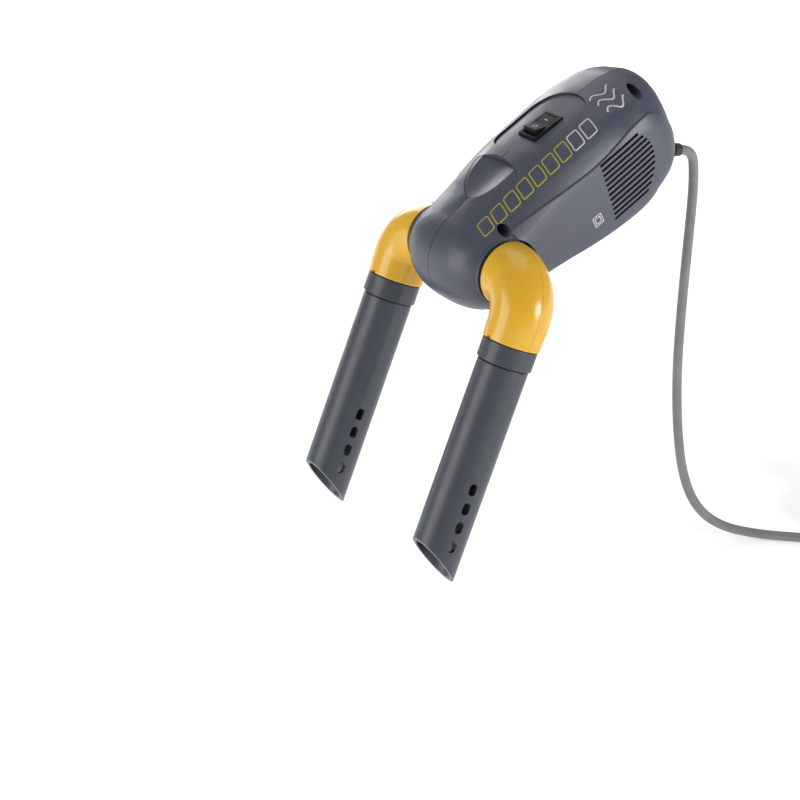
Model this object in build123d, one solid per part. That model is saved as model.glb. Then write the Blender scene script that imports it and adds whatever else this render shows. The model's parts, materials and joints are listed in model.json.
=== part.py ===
from build123d import *
from functools import lru_cache
from math import cos, pi, radians, sin, tan
import os

# Boot dryer. Millimetres, +Z up, +X to the wearer's right, -Y towards the toes.
# The origin is the middle of the swivel axis that carries both elbows.
# The body is drawn level, its length along +Y and its top up +Z, then tilted about X.
# The legs are drawn straight down, then leaned about X.

# Driving dimensions
BODY_TILT = 30.0          # the body rises this much towards its tail
LEG_LEAN = -22.7          # the tubes lean this much towards the toes
FLOOR_Z = -215.0          # the surface that the boots stand on
WALL = 2.2                # housing wall
NECK_X = 34.0             # the end faces of the head, where the elbows turn
NECK_R = 18.4
TAIL_START = 108.0
TAIL_LENGTH = 28.3
TAIL_MID_W = 17.9
PANEL_RAISE = 1.1         # side panels stand this proud of the shell
GROOVE_HALF = 0.22        # the joint line's groove, on each side of it
GROOVE_DEPTH = 1.0
CLEAR = 0.3               # gap between neighbouring parts that aren't a fit
FIT = 0.05                # radial running clearance

# Elbows, collars and tubes
ELBOW_START = 36.2
ELBOW_BEND = 21.3
ELBOW_STRAIGHT = 11.0
ELBOW_R0 = 18.0
ELBOW_R1 = 15.9
ELBOW_BORE = 13.5
SPIGOT_R = 15.5
SPIGOT_END = 44.0
TUBE_X = ELBOW_START + ELBOW_BEND
RIM_Z = -(ELBOW_BEND + ELBOW_STRAIGHT)
COLLAR_R = 15.3
COLLAR_LENGTH = 11.0
TUBE_R = 14.2
TUBE_WALL = 1.8
TUBE_LENGTH = 124.0       # from the collar down to the tip
PLUG_IN = 9.0             # the tube's end that sits in the elbow

# Air path inside the body, about the duct line
DUCT_W = -3.0             # height of the duct line
DUCT_R = 18.5
DUCT_WALL = 1.4
DUCT_FRONT = 24.0
DUCT_REAR = 82.0
CROSS_R = 15.0            # cross tube between the two spigots
TEE_R = 12.0              # where the tee's cone leaves the cross tube
SHROUD_R = 22.5
SHROUD_REAR = 98.0
IMPELLER_R = 20.6
MOTOR_R = 12.0
MOTOR_FRONT = 97.0
MOTOR_REAR = 119.0
BUSH_R = 4.0
SHAFT_R = 1.5
HEATER_FRONT = 36.0
HEATER_REAR = 64.0
COIL_WIRE_R = 14.2        # heater winding
COIL_TURNS = 5
BOARD_W = 12.8            # ballast board
BOARD_THICK = 1.6
LAMP_R = 2.8

# Outlines seen from the side: the raised panel on each flank
PANEL_TOP = [
    (13.0, 18.6),
    (34.0, 18.0),
    (55.0, 16.4),
    (69.0, 15.6),
    (81.0, 16.0),
    (94.0, 17.8),
    (106.0, 18.8),
    (116.5, 17.6),
]
PANEL_TAIL = [(116.5, 17.6), (127.0, 3.0), (118.0, -18.0)]
PANEL_BELLY = [(118.0, -18.0), (103.0, -27.0), (84.0, -29.5), (60.0, -27.0), (36.0, -21.5), (17.0, -17.0)]

# Intake slots in the panel
SLOT_COUNT = 12
SLOT_PITCH = 3.05
SLOT_HEIGHT = 1.5
SLOT_TOP = 14.0
SLOT_LEFT = 75.4
SLOT_RIGHT = 108.6

# Switch pod and thumb rest
POD_FRONT = 49.0
POD_REAR = 99.5
POD_HALF = 21.5
POD_SINK = 1.1
POD_WALL = 2.0
SWITCH_U = 71.5
SWITCH_W = 32.9           # the switch rim's underside
SWITCH_TILT = -3.5        # the panel's slope there
SWITCH_LONG = 21.0
SWITCH_WIDE = 15.6
SWITCH_RIM = 2.0
SWITCH_DEPTH = 10.5
PIVOT_DROP = 1.2          # the rocker's pivot, below the panel's surface
ROCKER_ANGLE = 10.0       # the rocker leans this much either way
SCOOP_TIP = 14.0
SCOOP_SIDE = (18.5, 38.0)
SCOOP_REAR = 43.0

# Screws, along X: height and place of each
SCREWS = [(11.5, 19.8), (119.5, 27.2), (-14.0, -18.0), (104.0, -28.8)]
SCREW_HEAD_R = 2.9
SCREW_HEAD = 2.0
SCREW_R = 1.5
SCREW_LENGTH = 16.0
RECESS_R = 3.2
SEAT_X = 6.0              # the screw heads rest this far from the joint line
BOSS_R = 4.3

# Mains cord
CORD_D = 5.8
RELIEF_END = (0.0, 143.0, 35.2)
RELIEF_DROP = 8.6         # the relief points this much below level
RELIEF_LENGTH = 24.0
RELIEF_NECK_R = 3.9
RELIEF_ROOT_R = 5.2
RELIEF_TIP_R = 3.7
PLUG_LENGTH = 36.0
PIN_R = 2.0
PIN_LENGTH = 19.0
PIN_SPACING = 18.6
COIL_CENTRE = (52.0, 279.0)
COIL_MID_R = 34.8
COIL_HALF = 9.2
COIL_HEIGHT = 11.8

# The hanging stretch and the stretch on the floor, from the relief to the coil
CORD_ROUTE = [
    RELIEF_END,
    (0.0, 148.8, 34.3),
    (0.0, 153.6, 29.6),
    (0.0, 154.9, 21.6),
    (0.4, 155.0, 6.0),
    (0.2, 153.6, -22.0),
    (-0.6, 152.0, -64.0),
    (-1.4, 151.8, -108.0),
    (0.6, 153.4, -146.0),
    (3.4, 157.6, -176.0),
    (9.0, 165.2, -197.0),
    (19.0, 177.5, -208.4),
    (34.0, 195.5, -212.1),
    (51.0, 214.5, -212.1),
    (67.0, 233.0, -212.1),
    (82.5, 251.8, -212.1),
]
# The last stretch, which lies on the coil and runs into the plug
CORD_TAIL = [
    (71.4, 305.7, -200.3),
    (62.9, 309.9, -200.3),
    (53.4, 310.9, -200.1),
    (44.2, 308.6, -199.6),
    (36.8, 304.3, -199.1),
]
PLUG_HEADING = 210.0      # degrees from +X, seen from above
TIE_TURN = 0.0            # where the tie sits round the coil


def tilt(shape):
    return Rot(X=BODY_TILT) * shape


def lean(shape):
    return Rot(X=LEG_LEAN) * shape


def along_x(radius, x0, x1, u=0.0, w=0.0):
    """A round bar along X."""
    bar = Cylinder(radius, x1 - x0, rotation=(0, 90, 0))
    return Pos((x0 + x1) / 2, u, w) * bar


def along_u(radius, u0, u1, x=0.0, w=DUCT_W):
    """A round bar along the body."""
    bar = Cylinder(radius, u1 - u0, rotation=(90, 0, 0))
    return Pos(x, (u0 + u1) / 2, w) * bar


def block(x0, x1, u0, u1, w0, w1):
    size = Box(x1 - x0, u1 - u0, w1 - w0)
    return Pos((x0 + x1) / 2, (u0 + u1) / 2, (w0 + w1) / 2) * size


def mirrored(shape):
    return mirror(shape, Plane.YZ)


def tidy(shape, radius, edges):
    """Rounds the edges, or leaves them sharp where the kernel can't."""
    try:
        rounded = fillet(edges, radius)
        return rounded if rounded.is_valid else shape
    except Exception:
        return shape


# ---- Body form -------------------------------------------------------------

# Along the body: place, half width, top, bottom, squareness above and below
SECTIONS = [
    (0.0, 37.6, 27.8, -27.8, 2.6, 2.6),
    (14.0, 37.0, 29.6, -28.0, 2.7, 2.9),
    (28.0, 36.6, 33.0, -28.6, 2.7, 3.5),
    (44.0, 36.5, 35.2, -30.3, 2.9, 4.2),
    (62.0, 36.5, 34.9, -32.4, 3.3, 4.6),
    (80.0, 36.5, 34.4, -34.4, 3.7, 4.6),
    (96.0, 36.5, 34.2, -34.5, 3.7, 4.3),
    (TAIL_START, 36.2, 33.8, -31.6, 3.2, 3.8),
]
TAIL_STEPS = [0.30, 0.52, 0.70, 0.84, 0.94, 0.985]


def quadrant(u, half, middle, rise, power, steps=7):
    """A quarter of a superellipse across the body, from its middle line out to its side."""
    points = []
    for i in range(steps + 1):
        angle = radians(90 * i / steps)
        points.append((half * sin(angle) ** (2 / power), u, middle + rise * cos(angle) ** (2 / power)))
    points[0] = (0, u, middle + rise)
    points[-1] = (half, u, middle)
    down = -1 if rise > 0 else 1
    return Spline(*points, tangents=[(1, 0, 0), (0, 0, down)])


def half_section(u, half, top, bottom, above, below):
    """The right half of the body's section."""
    middle = (top + bottom) / 2
    rise = (top - bottom) / 2
    upper = quadrant(u, half, middle, rise, above)
    lower = quadrant(u, half, middle, -rise, below)
    return Face(Wire([upper, lower, Line((0, u, bottom), (0, u, top))]))


@lru_cache(maxsize=None)
def right_form(inset):
    """The right half of the body's outside, moved in by inset."""
    faces = []
    for u, half, top, bottom, above, below in SECTIONS:
        faces.append(half_section(u, half - inset, top - inset, bottom + inset, above, below))
    last = SECTIONS[-1]
    for t in TAIL_STEPS:
        u = TAIL_START + (TAIL_LENGTH - inset) * t
        half = (last[1] - inset) * (1 - t ** 2.4) ** (1 / 2.4)
        top = TAIL_MID_W + (last[2] - inset - TAIL_MID_W) * (1 - t ** 2.0) ** 0.5
        bottom = TAIL_MID_W + (last[3] + inset - TAIL_MID_W) * (1 - t ** 2.2) ** 0.45
        faces.append(half_section(u, half, top, bottom, last[4] - t, last[5] - t))
    u, half, top, bottom, above, below = SECTIONS[0]
    rim = quadrant(u, half - inset, 0, top - inset, above)
    level = Line((half - inset, u, 0), (0, u, 0))
    upright = Line((0, u, 0), (0, u, top - inset))
    head = revolve(Face(Wire([rim, level, upright])), Axis.X, 180)
    return loft(faces) + head


@lru_cache(maxsize=None)
def whole_form(inset):
    half = right_form(inset)
    return half + mirrored(half)


def side_prism(edges, x0, x1):
    """The area inside the edges, drawn in the side view, between two places along X."""
    face = Face(Wire(edges))
    return extrude(Pos(x0, 0, 0) * face, x1 - x0, dir=(1, 0, 0))


def panel_prism():
    top = Spline(*[(0, u, w) for u, w in PANEL_TOP])
    tail = ThreePointArc(*[(0, u, w) for u, w in PANEL_TAIL])
    belly = Spline(*[(0, u, w) for u, w in PANEL_BELLY])
    front = Line((0, *PANEL_BELLY[-1]), (0, *PANEL_TOP[0]))
    return side_prism([top, tail, belly, front], 24, 50)


def panel_pad():
    """The raised panel with the body below it, its edge rounded."""
    pad = right_form(-PANEL_RAISE) & panel_prism()
    edge = [e for e in pad.edges() if e.center().X > 30 and e.center().Y > 14]
    return tidy(pad, 0.75, edge)


def slots():
    """The intake slots, as bars to cut away, longest in the middle."""
    bars = []
    for i in range(SLOT_COUNT):
        w = SLOT_TOP - i * SLOT_PITCH
        left = SLOT_LEFT - 0.17 * (SLOT_TOP - w)
        away = w - 2.5
        right = SLOT_RIGHT - away ** 2 / (28.5 if away > 0 else 37.7)
        bars.append(block(22, 50, left, right, w - SLOT_HEIGHT / 2, w + SLOT_HEIGHT / 2))
    return bars


def pod_outline(grow):
    """The switch panel seen from above: square in front, round at the tail."""
    half = POD_HALF + grow
    front = POD_FRONT - grow
    centre = POD_REAR - POD_HALF
    corner = 8.0
    sides = Line((half, front + corner, 0), (half, centre, 0))
    tail = ThreePointArc((half, centre, 0), (0, centre + half, 0), (-half, centre, 0))
    other = Line((-half, centre, 0), (-half, front + corner, 0))
    left = RadiusArc((-half, front + corner, 0), (-half + corner, front, 0), -corner)
    nose = Line((-half + corner, front, 0), (half - corner, front, 0))
    right = RadiusArc((half - corner, front, 0), (half, front + corner, 0), -corner)
    return Face(Wire([sides, tail, other, left, nose, right]))


def scoop_outline(grow):
    """The thumb rest seen from above: a leaf with its tip towards the head."""
    x, u = SCOOP_SIDE
    tip = (0, SCOOP_TIP - grow, 0)
    corner = (x + grow, u + 0.3 * grow, 0)
    other = (-x - grow, u + 0.3 * grow, 0)
    right = ThreePointArc(tip, (13.8 + grow * 0.9, 24.5 - grow * 0.6, 0), corner)
    rear = ThreePointArc(corner, (0, SCOOP_REAR + grow, 0), other)
    left = ThreePointArc(other, (-13.8 - grow * 0.9, 24.5 - grow * 0.6, 0), tip)
    return Face(Wire([right, rear, left]))


def upward(face):
    """The outline as a column through the top of the body."""
    return extrude(Pos(0, 0, 14) * face, 40, dir=(0, 0, 1))


def dip(minor):
    """The thumb rest's hollow: shallow along the body, tighter across it."""
    reach = 300.0
    ring = Torus(reach - 44.0, minor, rotation=(0, 90, 0))
    return Pos(0, 8, 29.5 + reach) * ring


def saddle(u):
    """A rib across the shell that carries the duct."""
    rib = right_form(WALL - 0.4) & block(0, 29, u - 0.8, u + 0.8, -40, 0)
    return rib - along_u(DUCT_R + 0.1, u - 2, u + 2)


def plain_half(forms):
    """The right half's shell with its neck, ribs, recesses for the inserts and slots."""
    outer, inner, insert_floor, thick = forms
    shell = outer + panel_pad() - inner
    pod_rim = (outer - thick) & upward(pod_outline(2.4))
    scoop_rim = (outer - thick) & upward(scoop_outline(2.2))
    shell = shell + (pod_rim & block(0, 40, 0, 140, 0, 60)) + (scoop_rim & block(0, 40, 0, 140, 0, 60))
    shell = shell - (upward(pod_outline(0)) - insert_floor)
    shell = shell - upward(pod_outline(-2.4)) - upward(scoop_outline(0))
    neck = along_x(NECK_R, 22, NECK_X) - along_x(SPIGOT_R + FIT, 20, 40)
    shell = shell - along_x(NECK_R + 0.8, NECK_X, 50) + neck
    shell = shell - along_x(SPIGOT_R + FIT, 25, 50)
    for u in (32.0, 76.0):
        shell = shell + saddle(u)
    for bar in slots():
        shell = shell - bar
    shell = shell - (block(-1, GROOVE_HALF, -30, 141, -37, 40) - right_form(GROOVE_DEPTH))
    relief_hole = Pos(0, 0, -RELIEF_LENGTH) * Cylinder(RELIEF_NECK_R + FIT, 16)
    return shell - relief_place() * relief_hole


def housing_halves():
    forms = [right_form(0), right_form(WALL), right_form(POD_SINK + POD_WALL), right_form(6.2)]
    bare = plain_half(forms)
    inside = right_form(WALL - 0.3)
    right = bare
    left = mirrored(bare)
    for u, w in SCREWS:
        right = right + (along_x(BOSS_R, 0, 40, u, w) & inside)
        left = left + mirrored(along_x(BOSS_R - 0.8, 0, 40, u, w) & inside)
    for u, w in SCREWS:
        right = right - along_x(RECESS_R, SEAT_X, 60, u, w) - along_x(SCREW_R + 0.2, -1, 20, u, w)
        left = left - along_x(SCREW_R + FIT, -13.5, 1, u, w)
    for u in (104.0, 118.0):
        rib = block(13.5, 40, u - 0.8, u + 0.8, 9.0, BOARD_W - BOARD_THICK / 2) & inside
        right = right + rib
        left = left + mirrored(rib)
    return right, left


# ---- Inserts in the top ----------------------------------------------------

def switch_panel():
    skin = whole_form(POD_SINK) - whole_form(POD_SINK + POD_WALL - 0.05)
    panel = skin & upward(pod_outline(-CLEAR))
    seat = Pos(0, 0, 5) * Box(SWITCH_WIDE + 0.4, SWITCH_LONG + 0.4, 10)
    return panel - switch_place() * (Box(13.3, 19.6, 20) + seat)


def thumb_rest():
    rest = whole_form(0.2) & upward(scoop_outline(-0.25))
    return (rest & dip(47.5)) - dip(44.0)


def switch_place():
    return Pos(0, SWITCH_U, SWITCH_W) * Rot(X=SWITCH_TILT)


def rocker_frame():
    rim = Box(SWITCH_WIDE, SWITCH_LONG, SWITCH_RIM)
    rim = tidy(rim, 0.7, rim.edges().filter_by(Axis.Z) + rim.faces().sort_by(Axis.Z)[-1].edges())
    body = Pos(0, 0, -SWITCH_RIM / 2 - SWITCH_DEPTH / 2) * Box(13.0, 19.2, SWITCH_DEPTH)
    frame = Pos(0, 0, SWITCH_RIM / 2) * (rim + body)
    frame = frame - Pos(0, 0, -2.5) * Box(11.0, 17.6, 10.0)
    frame = frame - Pos(0, 0, -PIVOT_DROP) * Cylinder(1.0 + FIT, 12.4, rotation=(0, 90, 0))
    return switch_place() * frame


def rocker():
    top = PIVOT_DROP + SWITCH_RIM
    sides = [(-7.9, top + 1.5), (0, top - 0.1), (7.9, top + 1.5), (7.9, 0.2), (4.5, -4.0), (-4.5, -4.0), (-7.9, 0.2)]
    face = Face(Wire(Polyline(*[(0, u, w) for u, w in sides], close=True)))
    cap = extrude(Pos(-5.2, 0, 0) * face, 10.4, dir=(1, 0, 0))
    cap = tidy(cap, 0.5, cap.faces().sort_by(Axis.Z)[-2:].edges().filter_by(Axis.X))
    cap = cap + Cylinder(1.0, 12.2, rotation=(0, 90, 0))
    return switch_place() * Pos(0, 0, -PIVOT_DROP) * Rot(X=-ROCKER_ANGLE) * cap


def switch_terminals():
    low = -SWITCH_DEPTH
    blades = [Pos(x, u, low - 2.0) * Box(0.8, 4.0, 4.0) for x in (-4.0, 4.0) for u in (-5.0, 3.0)]
    return switch_place() * Compound(children=blades)


# ---- Air path --------------------------------------------------------------

def cone_u(r0, r1, u0, u1, w0, w1):
    """A tapering bar along the body between two circles."""
    a = Pos(0, u0, w0) * Rot(X=-90) * Circle(r0)
    b = Pos(0, u1, w1) * Rot(X=-90) * Circle(r1)
    return loft([a.face(), b.face()])


def air_manifold():
    """The tee that turns the air into the two spigots."""
    outer = along_x(CROSS_R, -30, 30) + cone_u(TEE_R, DUCT_R, 8, DUCT_FRONT, -2.0, DUCT_W)
    inner = along_x(CROSS_R - 1.5, -31, 31) + cone_u(TEE_R - 1.6, DUCT_R - 1.6, 7.9, DUCT_FRONT + 0.1, -2.0, DUCT_W)
    return outer - inner


def heater_duct():
    return along_u(DUCT_R, DUCT_FRONT, DUCT_REAR) - along_u(DUCT_R - DUCT_WALL, DUCT_FRONT - 1, DUCT_REAR + 1)


def fan_shroud():
    """The fan's ring, with three arms that hold the motor."""
    ring = along_u(SHROUD_R, DUCT_REAR, SHROUD_REAR) - along_u(SHROUD_R - 1.4, DUCT_REAR + 1.2, SHROUD_REAR + 1)
    ring = ring - along_u(DUCT_R - DUCT_WALL, DUCT_REAR - 1, DUCT_REAR + 2)
    cup = along_u(MOTOR_R + 1.6, SHROUD_REAR - 2, SHROUD_REAR + 6)
    arms = cup
    for turn in (90, 210, 330):
        arm = Rot(Y=turn) * block(10, SHROUD_R - 0.7, SHROUD_REAR - 2, SHROUD_REAR, -2.5, 2.5)
        arms = arms + Pos(0, 0, DUCT_W) * arm
    return ring + (arms - along_u(MOTOR_R + FIT, SHROUD_REAR - 1, SHROUD_REAR + 7) - along_u(6.0, 90, 100))


def impeller():
    """A hub with seven pitched blades."""
    hub = along_u(7.5, 84.5, 94.0)
    hub = tidy(hub, 2.5, hub.edges().sort_by(Axis.Y)[:1])
    fan = hub
    for i in range(7):
        blade = Pos(13.6, 89.2, 0) * Rot(X=38) * Box(13.6, 9.0, 1.2)
        fan = fan + Pos(0, 0, DUCT_W) * Rot(Y=360 * i / 7) * blade
    fan = fan & along_u(IMPELLER_R, 83, 95)
    return fan - along_u(SHAFT_R, 80, 99)


def motor_body():
    can = along_u(MOTOR_R, SHROUD_REAR - 1, MOTOR_REAR)
    can = can + along_u(5.6, MOTOR_FRONT - 1.5, MOTOR_FRONT) + along_u(6.0, MOTOR_REAR, MOTOR_REAR + 2)
    can = can - along_u(BUSH_R, MOTOR_FRONT - 2, MOTOR_FRONT + 2) - along_u(BUSH_R, MOTOR_REAR - 2, MOTOR_REAR + 3)
    return can - along_u(SHAFT_R + 0.5, 90, 130)


def motor_bushes():
    front = along_u(BUSH_R, MOTOR_FRONT - 1.5, MOTOR_FRONT + 2)
    rear = along_u(BUSH_R, MOTOR_REAR - 2, MOTOR_REAR + 1.5)
    hole = along_u(SHAFT_R + FIT, 90, 130)
    return Compound(children=[front - hole, rear - hole])


def motor_shaft():
    return along_u(SHAFT_R, 85.5, MOTOR_REAR + 2.5)


def heater_frame():
    """Two crossed mica plates with wide ends that sit in the duct."""
    middle = (HEATER_FRONT + HEATER_REAR) / 2
    long = HEATER_REAR - HEATER_FRONT
    wide = 2 * (DUCT_R - DUCT_WALL) - 0.8
    plate = Box(25.8, long, 0.9)
    for side in (-1, 1):
        plate = plate + Pos(0, side * (long / 2 - 1.5), 0) * Box(wide, 3.0, 0.9)
    cross = plate + Rot(Y=90) * plate
    return Pos(0, middle, DUCT_W) * cross


def heater_coil():
    """The resistance wire, wound round the plates and straight between their edges."""
    first = HEATER_FRONT + 4
    pitch = (HEATER_REAR - HEATER_FRONT - 8) / COIL_TURNS
    points = []
    for i in range(4 * COIL_TURNS + 1):
        angle = radians(90 * i)
        points.append((COIL_WIRE_R * cos(angle), first + pitch * i / 4, DUCT_W + COIL_WIRE_R * sin(angle)))
    return wire(points, 1.2, 0.5)


def thermal_cutout():
    return along_u(3.6, 31.0, 34.6, w=DUCT_W) + along_u(1.2, 34.6, HEATER_FRONT, w=DUCT_W)


def thermal_fuse():
    return along_u(1.6, 44.0, 54.0, x=6.0, w=DUCT_W + 0.45 + 1.6)


def uv_lamp():
    tube = along_x(LAMP_R, -22, 22, -3, 0)
    return tidy(tube, 1.2, tube.edges())


def lamp_holders():
    holders = []
    for side in (-1, 1):
        holder = along_x(4.2, side * 20.5 - 2, side * 20.5 + 2, -3, 0)
        holder = holder + block(side * 20.5 - 2, side * 20.5 + 2, -4.5, -1.5, -14, -3)
        holder = holder - along_x(LAMP_R + FIT, -30, 30, -3, 0)
        holders.append(holder & along_x(CROSS_R - 1.55, -30, 30))
    return Compound(children=holders)


def ballast_board():
    board = Pos(0, 110.5, BOARD_W) * Box(32, 21, BOARD_THICK)
    return tidy(board, 1.5, board.edges().filter_by(Axis.Z))


def ballast_parts():
    top = BOARD_W + BOARD_THICK / 2
    coil_block = Pos(-6, 106, top + 3.2) * Box(11, 9, 6.4)
    ferrite = Pos(-6, 106, top + 7.0) * Box(6, 5, 1.2)
    drum = Pos(7, 105, top + 3.5) * Cylinder(3.0, 7.0)
    chip = Pos(9, 112.5, top + 0.9) * Box(6, 4, 1.8)
    film = Pos(-1.5, 113.0, top + 1.8) * Box(8, 3, 3.6)
    return Compound(children=[coil_block + ferrite, drum, chip, film])


def intake_filter():
    """A foam pad behind the right panel's slots."""
    pad = right_form(WALL + 0.2) - right_form(WALL + 1.8)
    return pad & block(24, 40, 68, 99.2, -15.5, 17.0)


def wire(points, radii, thickness=0.9):
    path = FilletPolyline(*points, radius=radii)
    return sweep(Plane(origin=path @ 0, z_dir=path % 0) * Circle(thickness), path)


def internal_wires():
    """Insulated leads beside the duct: supply, heater, motor and lamp."""
    from_relief = [(2.2, 118.6, -22.8), (18, 110, -18.4), (22, 100, -15.6)]
    supply_a = wire(from_relief + [(25.5, 84, 2), (25, 70, 17), (5.6, 67, 20)], 3.0)
    supply_b = mirrored(supply_a)
    heater = wire([(-6, 75, 20), (-21, 64, 15), (-22.5, 50, 4), (-23, 40, -3), (-19.6, 36, -3)], 3.0)
    motor = wire([(6, 76, 20), (14, 84, 21), (21, 92, 19), (23, 99, 9), (21, 112, 3), (13.2, 116, -3)], 3.0)
    along_duct = [(-12.4, 101, 18.2), (-15, 95, 21.6), (-24, 84, 20), (-24, 60, 12.5), (-22, 40, 12)]
    lamp = wire(along_duct + [(-17.5, 12, 14), (-16, 5, 17)], 3.0)
    return Compound(children=[supply_a, supply_b, heater, motor, lamp])


def housing_screws():
    screws = []
    for u, w in SCREWS:
        head = along_x(SCREW_HEAD_R, SEAT_X, SEAT_X + SCREW_HEAD, u, w)
        head = tidy(head, 0.8, head.edges().sort_by(Axis.X)[-1:])
        slot_a = block(SEAT_X + 0.8, 12, u - 1.9, u + 1.9, w - 0.4, w + 0.4)
        slot_b = block(SEAT_X + 0.8, 12, u - 0.4, u + 0.4, w - 1.9, w + 1.9)
        shank = along_x(SCREW_R, SEAT_X + SCREW_HEAD - SCREW_LENGTH - SCREW_HEAD, SEAT_X, u, w)
        screws.append(head + shank - slot_a - slot_b)
    return Compound(children=screws)


# ---- Legs: spigot, seal, elbow, collar and tube on the right ----------------

def spigot():
    ring = along_x(SPIGOT_R, 30, SPIGOT_END) + along_x(SPIGOT_R + 1.6, NECK_X, ELBOW_START - 0.3)
    ring = ring - along_x(CROSS_R - 1.5, 29, 50)
    groove = along_x(SPIGOT_R + 1, 39, 41) - along_x(SPIGOT_R - 1.1, 38, 42)
    return ring - groove


def swivel_seal():
    return along_x(SPIGOT_R, 39.1, 40.9) - along_x(SPIGOT_R - 1.1, 38, 42)


def elbow_form(start_r, end_r, before, after):
    """A quarter bend from +X to straight down, tapering from start to rim, with longer ends if asked."""
    length = ELBOW_BEND * pi / 2 + ELBOW_STRAIGHT
    rings = []
    if before:
        rings.append(Pos(ELBOW_START - before, 0, 0) * Rot(Y=90) * Circle(start_r))
    for i in range(9):
        angle = 90 * i / 8
        radius = start_r + (end_r - start_r) * ELBOW_BEND * radians(angle) / length
        x = ELBOW_START + ELBOW_BEND * sin(radians(angle))
        z = -ELBOW_BEND * (1 - cos(radians(angle)))
        rings.append(Pos(x, 0, z) * Rot(Y=90 + angle) * Circle(radius))
    for share in (0.5, 1.0):
        radius = end_r + (start_r - end_r) * ELBOW_STRAIGHT * (1 - share) / length
        rings.append(Pos(TUBE_X, 0, -ELBOW_BEND - ELBOW_STRAIGHT * share) * Rot(Y=180) * Circle(radius))
    if after:
        rings.append(Pos(TUBE_X, 0, RIM_Z - after) * Rot(Y=180) * Circle(end_r))
    return loft([r.face() for r in rings])


def elbow():
    bend = elbow_form(ELBOW_R0, ELBOW_R1, 0, 0)
    bend = tidy(bend, 0.6, bend.edges().sort_by(Axis.Z)[:1])
    bend = bend - elbow_form(ELBOW_BORE, ELBOW_BORE - 0.15, 1, 1)
    bend = bend - along_x(SPIGOT_R + FIT, 30, SPIGOT_END + 0.3)
    plug_hole = Pos(TUBE_X, 0, RIM_Z) * Cylinder(ELBOW_BORE, 2 * PLUG_IN + 0.6)
    notch = Pos(TUBE_X, -ELBOW_R1, RIM_Z) * Box(2.6, 3.0, 2.4)
    return bend - plug_hole - notch


def tube_collar():
    top = RIM_Z - 0.4
    collar = Pos(TUBE_X, 0, top - COLLAR_LENGTH / 2) * Cylinder(COLLAR_R, COLLAR_LENGTH)
    collar = tidy(collar, 0.5, collar.edges())
    return collar - Pos(TUBE_X, 0, top) * Cylinder(ELBOW_BORE - FIT, 40)


def dry_tube():
    """The tube: an end that turns in the elbow, a seat for the collar, and a slotted, slanted tip."""
    top = RIM_Z - 0.4
    low = top - COLLAR_LENGTH
    tip = low - TUBE_LENGTH
    end = Pos(TUBE_X, 0, (RIM_Z + PLUG_IN + low - 2) / 2) * Cylinder(ELBOW_BORE - FIT, RIM_Z + PLUG_IN - low + 2)
    pipe = Pos(TUBE_X, 0, (low + tip) / 2 - 0.3) * Cylinder(TUBE_R, low - tip - 0.6)
    pipe = tidy(pipe, 0.8, pipe.edges().sort_by(Axis.Z)[-1:])
    bore = Pos(TUBE_X, 0, (low + tip) / 2) * Cylinder(ELBOW_BORE - FIT - TUBE_WALL, 2 * TUBE_LENGTH)
    tube = end + pipe - bore
    slant = Pos(TUBE_X, TUBE_R, tip) * Rot(X=-35) * Pos(0, 0, -20) * Box(60, 90, 40)
    tube = tube - slant
    for side in (-1, 1):
        for i in range(4):
            hole = Box(12, 4.4, 7.0)
            hole = tidy(hole, 2.1, hole.edges().filter_by(Axis.X))
            tube = tube - Pos(TUBE_X + side * TUBE_R, -2, tip + 23 + 11 * i) * hole
    return tube


# ---- Mains cord ------------------------------------------------------------

def relief_frame():
    """A place at the relief's free end, its Z along the cord's way out."""
    out = (0, cos(radians(RELIEF_DROP)), -sin(radians(RELIEF_DROP)))
    return Plane(origin=RELIEF_END, x_dir=(1, 0, 0), z_dir=out).location


def relief_place():
    """The same place, before the body is tilted."""
    return Rot(X=-BODY_TILT) * relief_frame()


def strain_relief():
    """A ribbed boot that tapers to the cord, with a neck and a flange inside the shell."""
    root = -RELIEF_LENGTH
    boot = Pos(0, 0, root / 2) * Cone(RELIEF_ROOT_R, RELIEF_TIP_R, RELIEF_LENGTH)
    for i in range(5):
        z = root + 5.0 + 3.4 * i
        radius = RELIEF_ROOT_R - (RELIEF_ROOT_R - RELIEF_TIP_R) * (z - root) / RELIEF_LENGTH
        groove = Cylinder(radius + 1, 1.3) - Cylinder(radius - 0.9, 2)
        boot = boot - Pos(0, 0, z) * groove
    boot = relief_place() * boot - right_form(0) - mirrored(right_form(0))
    boot = boot.solids().sort_by(SortBy.VOLUME)[-1]
    neck = relief_place() * Pos(0, 0, root) * Cylinder(RELIEF_NECK_R, 6.0)
    flange = relief_place() * Pos(0, 0, root - 3.0) * Cylinder(RELIEF_ROOT_R - 0.4, 1.4)
    return boot + neck + flange


def cord_path(points):
    """Straight runs joined by arcs as large as the runs allow. Returns the path and its radii."""
    at = [Vector(*p) for p in points]
    radii = []
    for a, b, c in zip(at, at[1:], at[2:]):
        turn = radians((b - a).get_angle(c - b))
        radii.append(0.45 * min((b - a).length, (c - b).length) / tan(turn / 2))
    return FilletPolyline(*at, radius=radii), radii


def cord_tube(name, points):
    path, radii = cord_path(points)
    tube = sweep(Plane(origin=path @ 0, z_dir=path % 0) * Circle(CORD_D / 2), path)
    section = pi * CORD_D ** 2 / 4
    print(name, "length", round(path.length, 1), "radii", [round(r, 1) for r in radii])
    print(name, "volume over section times length", round(tube.volume / section / path.length, 4))
    return tube - cord_coil()


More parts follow.
